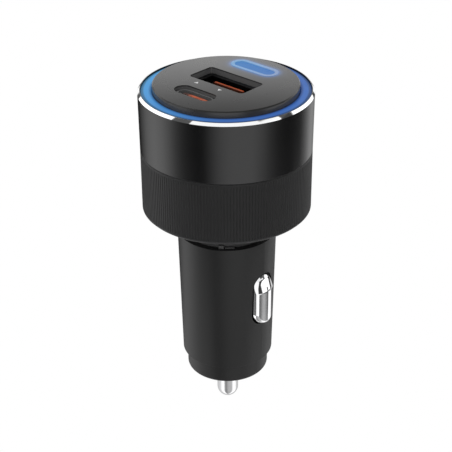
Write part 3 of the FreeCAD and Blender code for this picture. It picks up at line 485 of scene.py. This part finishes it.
def lit_guide():
    """Clear collar that carries the light of the lamps to the panel's face."""
    material, graph, shader = new_material("pale_blue_diffuser")
    cloud = graph.noise(1.2, 3)
    light = graph.ramp(along_guide(graph, cloud, 0.1), [
        (0.05, (0.15, 0.3, 0.5)), (0.5, (0.18, 0.31, 0.53)), (0.95, (0.2, 0.26, 0.42)),
    ])
    graph.put(light, shader.inputs["Emission Color"])
    shader.inputs["Emission Strength"].default_value = 0.9
    shader.inputs["Specular IOR Level"].default_value = 0.15
    base = graph.mix(cloud, (0.03, 0.07, 0.13), (0.04, 0.09, 0.16))
    graph.put(base, shader.inputs["Base Color"])
    graph.put(graph.span(cloud, 0.25, 0.32), shader.inputs["Roughness"])
    graph.put(graph.bump(graph.noise(0.1, 2), 0.0015, 0.08), shader.inputs["Normal"])
    return material


def lit_cap():
    """Tinted key, lit softly from below."""
    material, graph, shader = new_material("blue_cap")
    cloud = graph.noise(1.5, 3)
    light = graph.ramp(along_guide(graph, cloud, 0.15), [
        (0.05, (0.025, 0.17, 0.46)), (0.5, (0.028, 0.16, 0.45)), (0.95, (0.035, 0.15, 0.44)),
    ])
    graph.put(light, shader.inputs["Emission Color"])
    shader.inputs["Emission Strength"].default_value = 0.92
    shader.inputs["Specular IOR Level"].default_value = 0.12
    base = graph.mix(cloud, (0.008, 0.02, 0.05), (0.012, 0.03, 0.07))
    graph.put(base, shader.inputs["Base Color"])
    graph.put(graph.span(cloud, 0.3, 0.38), shader.inputs["Roughness"])
    graph.put(graph.bump(graph.noise(0.12, 3), 0.002, 0.1), shader.inputs["Normal"])
    return material


def panel_plastic():
    """Satin moulding with walls painted lighter than its face, and a painted glow round the
    guide.
    """
    material, graph, shader = new_material("panel_plastic")
    fine = graph.noise(0.09, 3)
    broad = graph.noise(6, 5)
    tone = graph.math("MULTIPLY", graph.math("ADD", fine, broad), 0.5)
    x, y, height = graph.split(graph.place())
    radius = graph.length(x, y)
    # Painted light: the walls, most of all inside the openings, are painted lighter than the face
    # against the shade they lie in
    wall = graph.ramp(tone, [(0.3, (0.038, 0.038, 0.0385)), (0.7, (0.044, 0.044, 0.0445))])
    inner = graph.ramp(tone, [(0.3, (0.098, 0.098, 0.099)), (0.7, (0.112, 0.112, 0.113))])
    outer = graph.span(radius, 0, 1, PANEL_RADIUS - WALL_FROM, PANEL_RADIUS - WALL_TO)
    painted_light_walls = graph.mix(outer, inner, wall)
    bright = graph.ramp(tone, [(0.3, (0.0185, 0.0183, 0.018)), (0.7, (0.0205, 0.0203, 0.02))])
    upper = graph.span(height, 0, 1, PANEL_TOP - FACE_FROM, PANEL_TOP - FACE_TO)
    graph.put(graph.mix(upper, painted_light_walls, bright), shader.inputs["Base Color"])
    # A painted glow: the face round the light guide glows blue as if lit by it
    face = graph.span(height, 0, 1, PANEL_TOP - PAINTED_GLOW_DEPTH, PANEL_TOP)
    away = graph.math("SUBTRACT", pill_distance(graph), GUIDE_WIDTH / 2)
    painted_halo = graph.math("EXPONENT", graph.math("MULTIPLY", away, -1 / PAINTED_HALO_REACH))
    painted_halo = graph.math("MINIMUM", graph.math("MULTIPLY", painted_halo, face), 1.0)
    painted_glow = graph.mix(painted_halo, (0, 0, 0), (0.03, 0.14, 0.42))
    graph.put(painted_glow, shader.inputs["Emission Color"])
    shader.inputs["Emission Strength"].default_value = 0.8
    graph.put(graph.span(broad, 0.27, 0.29), shader.inputs["Roughness"])
    outward = graph.add("ShaderNodeVectorMath", operation="MULTIPLY_ADD")
    graph.put(graph.place(), outward.inputs[0])
    outward.inputs[1].default_value = (PANEL_CROWN, PANEL_CROWN, 0)
    outward.inputs[2].default_value = (0, 0, PANEL_DRAFT)
    leaning = graph.add("ShaderNodeVectorMath", operation="ADD")
    graph.put(graph.bump(fine, 0.0001, 0.05), leaning.inputs[0])
    graph.put(outward.outputs[0], leaning.inputs[1])
    level = graph.add("ShaderNodeVectorMath", operation="NORMALIZE")
    graph.put(leaning.outputs[0], level.inputs[0])
    graph.put(level.outputs[0], shader.inputs["Normal"])
    return material


def ribbed_plastic():
    """Dull moulding, smoother on the worn crests of its ribs, with grooves painted lighter and a
    painted highlight on its lip.
    """
    material, graph, shader = new_material("ribbed_plastic")
    fine = graph.noise(0.1, 3)
    broad = graph.noise(4, 5)
    x, y, height = graph.split(graph.place())
    outside = HEAD_RADIUS - HEAD_FLARE
    crest = graph.span(graph.length(x, y), 0, 1, outside - RIB_WEAR_AND_GROOVE_LIGHT, outside)
    # Painted light: the grooves are paler than the crests, against the shade that falls in them
    low = graph.ramp(broad, [(0.3, (0.024, 0.024, 0.0243)), (0.7, (0.028, 0.028, 0.0283))])
    high = graph.ramp(broad, [(0.3, (0.0135, 0.0135, 0.014)), (0.7, (0.016, 0.016, 0.0165))])
    # A painted highlight along the lower lip, where its chamfer catches the light
    lip = graph.span(height, 1, 0, LIP_HIGHLIGHT_FROM, LIP_HIGHLIGHT_TO)
    body = graph.mix(crest, low, high)
    graph.put(graph.mix(lip, body, (0.04, 0.04, 0.041)), shader.inputs["Base Color"])
    worn = graph.math("MULTIPLY", crest, 0.04)
    rough = graph.math("SUBTRACT", graph.span(broad, 0.46, 0.5), worn)
    shader.inputs["Specular IOR Level"].default_value = 0.25
    graph.put(rough, shader.inputs["Roughness"])
    graph.put(graph.bump(fine, 0.002, 0.04), shader.inputs["Normal"])
    return material


def tongue_plastic(name, node, painted_light_from, painted_light_beyond):
    """Orange plastic with painted light on the tip past the given x and y, and browner painted
    shade elsewhere.
    """
    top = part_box(node)[1].z
    material, graph, shader = new_material(name)
    x, y, z = graph.split(graph.place())
    fine = graph.noise(0.2, 3)
    cloud = graph.noise(2.5, 3)
    tip = graph.span(z, 0, 1, top - TIP_FROM, top - TIP_TO)
    along = graph.span(x, 0, 1, painted_light_from, painted_light_from + TONGUE_FADE_X)
    across = graph.span(y, 0.2, 1, painted_light_beyond, painted_light_beyond + TONGUE_FADE_Y)
    # Painted light on the lit tip and its far edge; the rest is painted shade, browner than the
    # plastic
    painted_lit_tip = graph.math("MULTIPLY", graph.math("MULTIPLY", tip, across), along)
    painted_lit_tip = graph.math("MULTIPLY", painted_lit_tip, graph.span(cloud, 0.75, 1))
    painted_shade_brown = graph.ramp(fine, [(0.3, (0.05, 0.012, 0.005)), (0.7, (0.07, 0.016, 0.006))])
    orange = graph.ramp(fine, [(0.3, (0.6, 0.095, 0.02)), (0.7, (0.7, 0.12, 0.03))])
    graph.put(graph.mix(painted_lit_tip, painted_shade_brown, orange), shader.inputs["Base Color"])
    graph.put(graph.span(fine, 0.42, 0.5), shader.inputs["Roughness"])
    graph.put(graph.bump(fine, 0.002, 0.05), shader.inputs["Normal"])
    return material


# One material for each slot, except orange_plastic, whose nodes all stand under FINISHES
MATERIALS = {
    "satin_black_metal": grained("satin_black_metal", (0.005, 0.005, 0.0053), 0.2,
                                 grain=0.07, depth=0.0003, edge=0, spread=0.06),
    "black_plastic": grained("black_plastic", (0.0085, 0.0085, 0.0088), 0.42,
                             grain=0.1, depth=0.0015, specular=0.32),
    "dark_grey_plastic": grained("dark_grey_plastic", (0.0095, 0.0095, 0.0098), 0.36,
                                 grain=0.1, depth=0.0012, specular=0.35),
    "blue_diffuser": lit_ring(),
    "pale_blue_diffuser": lit_guide(),
    "blue_cap": lit_cap(),
    "bright_steel": polished("bright_steel", (0.62, 0.62, 0.63), 0.25),
    "nickel_plate": polished("nickel_plate", (0.86, 0.86, 0.87), 0.07,
                             spread=0.04, depth=0.0005, edge=0.08),
    "spring_steel": polished("spring_steel", (0.5, 0.5, 0.51), 0.3),
    "brass": polished("brass", (0.75, 0.55, 0.22), 0.3),
    "gold_contact": polished("gold_contact", (0.9, 0.66, 0.25), 0.2),
    "green_board": grained("green_board", (0.01, 0.11, 0.04), 0.35),
    "white_board": grained("white_board", (0.75, 0.75, 0.72), 0.4),
    "lamp_package": grained("lamp_package", (0.8, 0.78, 0.5), 0.3),
    "chip_plastic": grained("chip_plastic", (0.015, 0.015, 0.016), 0.5),
    "ferrite": grained("ferrite", (0.05, 0.05, 0.055), 0.6),
    "can_aluminium": polished("can_aluminium", (0.75, 0.76, 0.77), 0.3),
}
# Nodes whose finish differs from the rest of their slot
FINISHES = {
    "front_panel": panel_plastic(),
    # The neck is painted lighter than the other black plastics, against the shade under the head
    "neck": grained("neck_plastic_painted_lighter", (0.085, 0.085, 0.086), 0.4, grain=0.1, depth=0.0012),
    "usb_a_insulator": tongue_plastic(
        "wide_tongue", "usb_a_insulator", WIDE_TONGUE_X, WIDE_TONGUE_Y),
    "usb_c_insulator": tongue_plastic(
        "small_tongue", "usb_c_insulator", SMALL_TONGUE_X, SMALL_TONGUE_Y),
    "lower_shell": ribbed_plastic(),
    "usb_a_shell": polished("dark_steel_wide", (0.05, 0.05, 0.052), 0.35),
    "usb_c_shell": grained("port_liner", (0.14, 0.14, 0.142), 0.45),
}
BRIGHT_BEVEL = polished("bright_bevel", (0.95, 0.955, 0.96), 0.05,
                        spread=0.02, depth=0.0003, edge=0)
WHITE_PRINT = grained("white_print", (0.8, 0.8, 0.8), 0.5,
                      grain=0.08, depth=0.001, edge=0, spread=0.04)


# Floor, world and lamp

def make_floor():
    """A wide floor far below, white to the camera, that lights the object as pale ground does."""
    mesh = bpy.data.meshes.new("floor")
    shape = bmesh.new()
    bmesh.ops.create_grid(shape, x_segments=1, y_segments=1, size=FLOOR_REACH)
    shape.to_mesh(mesh)
    shape.free()
    floor = bpy.data.objects.new("floor", mesh)
    bpy.context.scene.collection.objects.link(floor)
    floor.location.z = FLOOR_LEVEL
    floor.visible_glossy = False
    material = bpy.data.materials.new("pale_floor")
    material.use_nodes = True
    graph = Graph(material.node_tree)
    matt = graph.add("ShaderNodeBsdfDiffuse")
    matt.inputs["Color"].default_value = (FLOOR_TONE, FLOOR_TONE, FLOOR_TONE, 1)
    white = graph.add("ShaderNodeEmission")
    seen = graph.rays("Is Camera Ray", "Is Transmission Ray", "Is Glossy Ray")
    graph.choose(seen, matt, white, "ShaderNodeOutputMaterial")
    mesh.materials.append(material)


def make_world():
    """A white studio with soft boxes and dark screens round the object."""
    world = bpy.data.worlds.new("studio")
    bpy.context.scene.world = world
    world.use_nodes = True
    graph = Graph(world.node_tree)
    x, y, z = graph.split(graph.add("ShaderNodeTexCoord").outputs["Generated"])

    def along(operation, share_x, share_y):
        """How far the direction looked in goes along a level direction."""
        part_x, part_y = graph.math("MULTIPLY", x, share_x), graph.math("MULTIPLY", y, share_y)
        return graph.math(operation, part_x, part_y)

    def step(source, low, high, place, soft):
        """A soft step from low to high at a place."""
        return graph.span(source, low, high, place - soft / 2, place + soft / 2, smooth=True)

    def between(source, start, stop, soft):
        """1 where the source lies between two places, and 0 elsewhere."""
        rising, falling = step(source, 0, 1, start, soft), step(source, 1, 0, stop, soft)
        return graph.math("MULTIPLY", rising, falling)

    sine, cosine = math.sin(CAMERA_AZIMUTH), math.cos(CAMERA_AZIMUTH)
    ahead = along("SUBTRACT", sine, cosine)
    aside = along("ADD", cosine, sine)
    turn = graph.math("DEGREES", graph.math("ARCTAN2", aside, ahead))
    rise = graph.math("DEGREES", graph.math("ARCSINE", z))
    share = graph.span(turn, 0, 1, -180, 180)
    walls = None
    for start, soft, stops in STUDIO_LAYERS:
        tones = [((place + 180) / 360, (bright / LAYER_SCALE,) * 3) for place, bright in stops]
        layer = graph.ramp(share, tones)
        walls = layer if walls is None else graph.mix(step(rise, 0, 1, start, soft), walls, layer)
    level = graph.math("MULTIPLY", walls, LAYER_SCALE)
    both_sides = graph.math("ABSOLUTE", turn)
    for around, patches in ((turn, STUDIO_SCREENS), (both_sides, STUDIO_BACK)):
        for left, right, low, high, across, upwards, brightness in patches:
            columns = between(around, left, right, across)
            inside = graph.math("MULTIPLY", columns, between(rise, low, high, upwards))
            change = graph.math("SUBTRACT", brightness, level)
            level = graph.math("ADD", level, graph.math("MULTIPLY", change, inside))
    light = graph.add("ShaderNodeBackground")
    graph.put(level, light.inputs["Strength"])
    light.inputs["Color"].default_value = (1, 1, 1, 1)
    white = graph.add("ShaderNodeBackground")
    white.inputs["Color"].default_value = (1, 1, 1, 1)
    seen = graph.rays("Is Camera Ray", "Is Transmission Ray")
    graph.choose(seen, light, white, "ShaderNodeOutputWorld")


def make_lamp():
    """A wide soft lamp overhead that faces the object and leaves no reflection of its own."""
    data = bpy.data.lights.new("overhead_lamp", "AREA")
    data.shape = "DISK"
    data.size = LAMP_SIZE
    data.energy = LAMP_POWER
    lamp = bpy.data.objects.new("overhead_lamp", data)
    lamp.location = LAMP_PLACE
    lamp.rotation_euler = (-Vector(LAMP_PLACE)).to_track_quat("-Z", "Y").to_euler()
    lamp.visible_glossy = False
    bpy.context.scene.collection.objects.link(lamp)


# Shapes

def make_item(name, shape, materials, crease=None):
    """An object from a mesh in the making, with its edges crisp from an angle in degrees."""
    bmesh.ops.recalc_face_normals(shape, faces=shape.faces)
    mesh = bpy.data.meshes.new(name)
    shape.to_mesh(mesh)
    shape.free()
    if crease is not None:
        mesh.set_sharp_from_angle(angle=math.radians(crease))
    for material in materials:
        mesh.materials.append(material)
    item = bpy.data.objects.new(name, mesh)
    bpy.context.scene.collection.objects.link(item)
    return item


def join(shape, lower, upper, material=0):
    """Smooth faces from one closed loop of points to the next."""
    for side in range(len(lower)):
        other = (side + 1) % len(lower)
        face = shape.faces.new((lower[side], lower[other], upper[other], upper[side]))
        face.smooth = True
        face.material_index = material


def join_and_close(shape, rings):
    """Smooth faces along a row of closed loops of points, with a flat face at each end."""
    for lower, upper in zip(rings, rings[1:]):
        join(shape, lower, upper)
    shape.faces.new(rings[0])
    shape.faces.new(rings[-1])


def out_and_aside(turn):
    """The way out from the axis at an angle, and the level way across it."""
    return (
        Vector((math.cos(turn), math.sin(turn), 0)),
        Vector((-math.sin(turn), math.cos(turn), 0)),
    )


def rounded(profile):
    """Points of a closed profile, whose rows give a corner's radius, height and rounding."""
    points = []
    corners = [Vector(row[:2]) for row in profile]
    for index, here in enumerate(corners):
        radius = profile[index][2]
        if not radius:
            points.append(here)
            continue
        before = (corners[index - 1] - here).normalized()
        after = (corners[(index + 1) % len(corners)] - here).normalized()
        half = before.angle(after) / 2
        center = here + (before + after).normalized() * (radius / math.sin(half))
        start = here + before * (radius / math.tan(half)) - center
        stop = here + after * (radius / math.tan(half)) - center
        sweep = start.angle_signed(stop)
        for step in range(ARC_STEPS + 1):
            turn = Matrix.Rotation(-sweep * step / ARC_STEPS, 2)
            points.append(center + turn @ start)
    return points


def lathe(name, profile, materials, finish=None):
    """A closed profile of radius and height, turned round the axis."""
    shape = bmesh.new()
    rings = []
    for radius, height in profile:
        ring = []
        for index in range(LATHE_SEGMENTS):
            angle = math.tau * index / LATHE_SEGMENTS
            point = (radius * math.cos(angle), radius * math.sin(angle), height)
            ring.append(shape.verts.new(point))
        rings.append(ring)
    for index, ring in enumerate(rings):
        following = (index + 1) % len(rings)
        material = finish(profile[index], profile[following]) if finish else 0
        join(shape, ring, rings[following], material)
    item = make_item(name, shape, materials, LATHE_CREASE)
    weighted = item.modifiers.new("even_normals", "WEIGHTED_NORMAL")
    weighted.keep_sharp = True
    return item


def make_sleeve():
    """The head's smooth sleeve with its polished bevel."""
    rim = HEAD_TOP - BEVEL_HEIGHT
    land = HEAD_RADIUS - BEVEL_WIDTH
    band = HEAD_RADIUS - HEAD_FLARE
    lip = RING_RADIUS + RING_ROOM
    led_seat = RING_SEAT - LED_SPACE
    waist_floor = SEAM + SPIGOT_ROOM
    profile = rounded([
        (SHELL_BORE, SEAM, 0),
        (band - BAND_CHAMFER, SEAM, 0.05 * MM),
        (band, SEAM + BAND_CHAMFER, 0.08 * MM),
        (HEAD_RADIUS, rim, 0.05 * MM),
        (land, HEAD_TOP, 0.04 * MM),
        (lip, HEAD_TOP, 0.04 * MM),
        (lip, RING_SEAT, 0),
        (SHELL_BORE, RING_SEAT, 0),
        (SHELL_BORE, led_seat, 0),
        (WAIST_BORE, led_seat, 0),
        (WAIST_BORE, waist_floor, 0),
        (SHELL_BORE, waist_floor, 0),
    ])

    def finish(start, stop):
        radius, height = (start + stop) / 2
        return 1 if height > rim + BEVEL_START and radius > land else 0

    materials = [MATERIALS["satin_black_metal"], BRIGHT_BEVEL]
    item = lathe("head_sleeve", profile, materials, finish)
    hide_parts("upper_shell")
    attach(item, "casing")


def make_ring():
    """The light ring: flat, with a chamfer along its outer edge."""
    profile = rounded([
        (RING_BORE, RING_SEAT, 0),
        (RING_RADIUS, RING_SEAT, 0),
        (RING_RADIUS, RING_TOP - RING_CHAMFER_HEIGHT, 0.05 * MM),
        (RING_RADIUS - RING_CHAMFER_WIDTH, RING_TOP, 0.3 * MM),
        (RING_BORE, RING_TOP, 0.15 * MM),
    ])
    item = lathe("light_ring_lens", profile, [MATERIALS["blue_diffuser"]])
    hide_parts("light_ring")
    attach(item, "casing")


def pill_loop(half_width, half_height, steps):
    """Points round an upright pill: each one's level on the middle line, and its way out."""
    straight = half_height - half_width
    loop = []
    for index in range(steps):
        angle = math.pi * index / (steps - 1)
        loop.append((straight, math.cos(angle), math.sin(angle)))
    for index in range(1, steps):
        loop.append((straight * (1 - 2 * index / steps), -1, 0))
    for index in range(steps):
        angle = math.pi * (1 + index / (steps - 1))
        loop.append((-straight, math.cos(angle), math.sin(angle)))
    for index in range(1, steps):
        loop.append((straight * (2 * index / steps - 1), 1, 0))
    return loop


def pad_height(across, up, inside):
    """How far a contact's face stands out at a place, which lies so far inside its outline."""
    half_width, half_height = CONTACT_WIDTH / 2, CONTACT_HEIGHT / 2
    ramp = max(0, up - (half_height - CONTACT_RAMP))
    share = ramp / CONTACT_RAMP
    low = max(0, half_width - half_height - up) / half_width
    crown = math.sqrt(CONTACT_CROWN ** 2 - across ** 2)
    height = CONTACT_FACE - CONTACT_CROWN + crown
    soft = (CONTACT_EDGE + share * CONTACT_UPPER_EDGE + low * CONTACT_LOWER_EDGE) * MM
    dip = max(0, soft - inside) / MM
    fall = CONTACT_FALL - CONTACT_UPPER_FALL * share
    return height - CONTACT_SLOPE * ramp - fall * dip * dip * MM


def make_contact(name, body, node, turn):
    """A side contact: a polished pad with rounded edges and an upper end that slopes back."""
    half_width = CONTACT_WIDTH / 2
    out, aside = out_and_aside(turn)
    loop = pill_loop(half_width, CONTACT_HEIGHT / 2, CONTACT_STEPS)
    shape = bmesh.new()

    def ring(inside, depth=None):
        """A loop of points so far inside the outline, at a depth or on the face."""
        reach = half_width - inside
        verts = []
        for level, across, up in loop:
            u, v = across * reach, level + up * reach
            far = pad_height(u, v, inside) if depth is None else depth
            point = out * far + aside * u
            verts.append(shape.verts.new((point.x, point.y, CONTACT_MIDDLE + v)))
        return verts

    rings = [
        ring(-CONTACT_MARGIN, CONTACT_BACK),
        ring(-CONTACT_MARGIN, CONTACT_BACK + CONTACT_FLANGE),
        ring(0, CONTACT_BACK + CONTACT_FLANGE),
    ]
    for index in range(CONTACT_ROWS):
        rings.append(ring(half_width * (index / CONTACT_ROWS) ** CONTACT_CROWDING))
    join_and_close(shape, rings)
    item = make_item(name, shape, [MATERIALS["nickel_plate"]], CREASE)
    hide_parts(node)
    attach(item, body)


def finish_spring(name, shape, node):
    """Put a spring in the place of its solid, with a mesh of its own."""
    item = make_item(name, shape, [MATERIALS["spring_steel"]], CREASE)
    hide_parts(node)
    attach(item, "casing")
    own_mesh(item)


def make_coil():
    """The coil spring that the centre pin presses."""
    low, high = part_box("pin_spring")
    start = low.z + COIL_WIRE
    rise = high.z - low.z - 2 * COIL_WIRE
    slope = Vector((0, 0, rise / (math.tau * COIL_RADIUS * COIL_TURNS)))
    shape = bmesh.new()
    rings = []
    for index in range(COIL_STEPS + 1):
        out, around = out_and_aside(math.tau * COIL_TURNS * index / COIL_STEPS)
        aside = out.cross((around + slope).normalized())
        middle = out * COIL_RADIUS + Vector((0, 0, start + rise * index / COIL_STEPS))
        ring = []
        for side in range(COIL_SIDES):
            turn = math.tau * side / COIL_SIDES
            away = out * math.cos(turn) + aside * math.sin(turn)
            ring.append(shape.verts.new(middle + away * COIL_WIRE))
        rings.append(ring)
    join_and_close(shape, rings)
    finish_spring("coil", shape, "pin_spring")


def make_leaf(name, node, turn):
    """A bowed leaf spring that a side contact presses."""
    out, aside = out_and_aside(turn)
    knee = LEAF_REACH - LEAF_FOOT
    outer = [
        (LEAF_BACK + LEAF_THICKNESS, -LEAF_REACH),
        (LEAF_BACK + LEAF_THICKNESS, -knee),
        (LEAF_FRONT, -LEAF_FOOT),
    ]
    inner = [
        (LEAF_BACK, -LEAF_REACH),
        (LEAF_BACK, -knee),
        (LEAF_FRONT - LEAF_THICKNESS, -LEAF_FOOT),
    ]
    shape = bmesh.new()
    columns = []
    for across in (-LEAF_WIDTH / 2, LEAF_WIDTH / 2):
        for half in (outer, inner):
            line = half + [(reach, -level) for reach, level in reversed(half)]
            columns.append([
                shape.verts.new(
                    out * reach + aside * across + Vector((0, 0, CONTACT_MIDDLE + level)))
                for reach, level in line
            ])
    order = (columns[0], columns[1], columns[3], columns[2])
    for column, other in zip(order, order[1:] + order[:1]):
        for index in range(len(column) - 1):
            shape.faces.new((column[index], column[index + 1], other[index + 1], other[index]))
    for end in (0, -1):
        shape.faces.new([column[end] for column in order])
    finish_spring(name, shape, node)


def make_mark(name, x, y, way):
    """A small plain triangle printed on the panel, pointing one way along Y."""
    half_width, half_height = MARK_WIDTH / 2, MARK_HEIGHT / 2 * way
    corners = [(-half_width, -half_height), (half_width, -half_height), (0, half_height)]
    shape = bmesh.new()
    low = [shape.verts.new((x + across, y + along, PANEL_TOP)) for across, along in corners]
    face = shape.faces.new(low)
    bmesh.ops.extrude_face_region(shape, geom=[face])
    for vert in shape.verts[3:]:
        vert.co.z += MARK_THICKNESS
    item = make_item(name, shape, [WHITE_PRINT])
    soft = item.modifiers.new("soft_corners", "BEVEL")
    soft.width = MARK_CORNER
    soft.segments = 2
    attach(item, "casing")


make_camera()
make_floor()
make_world()
make_lamp()
for subpart in frame["record"]["subparts"]:
    solid = nodes[subpart["node"]]
    solid.data.materials.clear()
    finish = FINISHES.get(subpart["node"]) or MATERIALS[subpart["material_slot"]]
    solid.data.materials.append(finish)
make_sleeve()
make_ring()
make_contact("right_pad", "right_contact", "ground_contact_right", CONTACT_TURN)
make_contact("left_pad", "left_contact", "ground_contact_left", CONTACT_TURN + math.pi)
make_coil()
make_leaf("right_leaf", "ground_spring_right", CONTACT_TURN)
make_leaf("left_leaf", "ground_spring_left", CONTACT_TURN + math.pi)
make_mark("mark_up", MARK_UP_X, MARK_Y, 1)
make_mark("mark_down", MARK_DOWN_X, MARK_Y, -1)

bpy.context.scene.view_settings.view_transform = "Standard"
